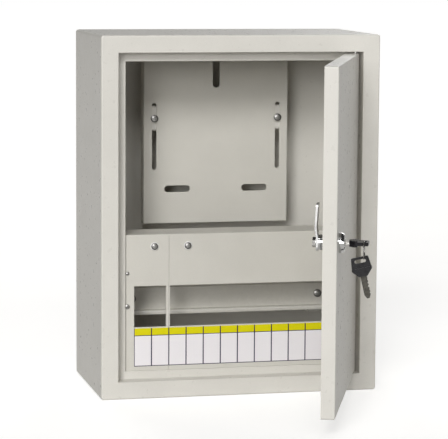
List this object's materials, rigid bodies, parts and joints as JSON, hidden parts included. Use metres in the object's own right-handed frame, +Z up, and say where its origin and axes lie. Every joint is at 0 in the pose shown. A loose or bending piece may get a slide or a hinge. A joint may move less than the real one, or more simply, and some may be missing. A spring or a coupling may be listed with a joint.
{
  "type": "metal electrical enclosure",
  "caption": "Wall cabinet of folded steel with a hinged lockable door, a slotted meter plate, windowed cover panels and a device rail.",
  "frame": {"origin": "centre of the cabinet's bottom face", "axes": "+Z up, +Y towards the wall behind the cabinet, +X to the hinge side as seen from the front"},
  "size_m": [0.31, 0.4065, 0.395],
  "materials": {
    "powder_coat": "fine textured powder coat, light warm grey",
    "plate_coat": "satin paint, light warm grey",
    "galvanised": "zinc plated, dull",
    "label": "printed film, white and yellow fields with dark lines",
    "zinc": "zinc plated",
    "lock_chrome": "polished nickel",
    "cam_steel": "bright zinc",
    "key_steel": "nickel silver, dull",
    "key_plastic": "moulded, black",
    "ring_steel": "round steel wire"
  },
  "bodies": {
    "cabinet": {"cabinet_body": "powder_coat", "hinge_pins": "zinc", "hinge_washer": "zinc", "panel_support_bar": "powder_coat", "side_plate_left": "powder_coat", "side_plate_right": "powder_coat", "cover_panel_left": "powder_coat", "cover_panel_right": "powder_coat", "label_left": "label", "label_right": "label", "panel_screws": "zinc", "panel_washers": "zinc", "side_screws": "zinc", "side_pins": "zinc", "din_rail": "galvanised", "rail_screws": "zinc", "rail_bracket_left": "powder_coat", "rail_bracket_right": "powder_coat", "plate_bracket_left": "powder_coat", "plate_bracket_right": "powder_coat", "plate_screws": "zinc", "plate_washers": "zinc", "earth_stud": "zinc", "earth_washer": "zinc", "earth_nut": "zinc"},
    "meter_plate": {"meter_plate": "plate_coat"},
    "door": {"door": "powder_coat", "hinge_plate_upper": "powder_coat", "hinge_plate_lower": "powder_coat", "lock_housing": "lock_chrome", "lock_nut": "lock_chrome"},
    "lock_cylinder": {"lock_plug": "lock_chrome", "lock_cam": "cam_steel", "cam_washer": "zinc", "cam_bolt": "zinc"},
    "key": {"key_blade": "key_steel", "key_bow": "key_plastic"},
    "key_ring": {"key_ring": "ring_steel"},
    "spare_key": {"spare_key_blade": "key_steel", "spare_key_bow": "key_plastic"}
  },
  "joints": [
    {"name": "door_hinge", "type": "hinge", "parent": "cabinet", "child": "door", "pos_m": [0.1275, -0.0785, 0.1975], "axis": [0, 0, 1], "range_deg": [-69.2, 50.8]},
    {"name": "lock_turn", "type": "hinge", "parent": "door", "child": "lock_cylinder", "pos_m": [0.04797, -0.29914, 0.1963], "axis": [0.9348, -0.3551, 0], "range_deg": [0, 90]},
    {"name": "key_pull", "type": "slide", "parent": "lock_cylinder", "child": "key", "axis": [0.9348, -0.3551, 0], "range_m": [0, 0.018]},
    {"name": "ring_swing", "type": "hinge", "parent": "key", "child": "key_ring", "pos_m": [0.06916, -0.31516, 0.1981], "axis": [0.3551, 0.9348, 0], "range_deg": [-15, 10]},
    {"name": "spare_key_swing", "type": "hinge", "parent": "key_ring", "child": "spare_key", "pos_m": [0.06916, -0.31516, 0.18128], "axis": [0.3551, 0.9348, 0], "range_deg": [-60, 12]},
    {"name": "plate_slide", "type": "slide", "parent": "cabinet", "child": "meter_plate", "axis": [0, 0, 1], "range_m": [-0.013, 0.015]}
  ]
}
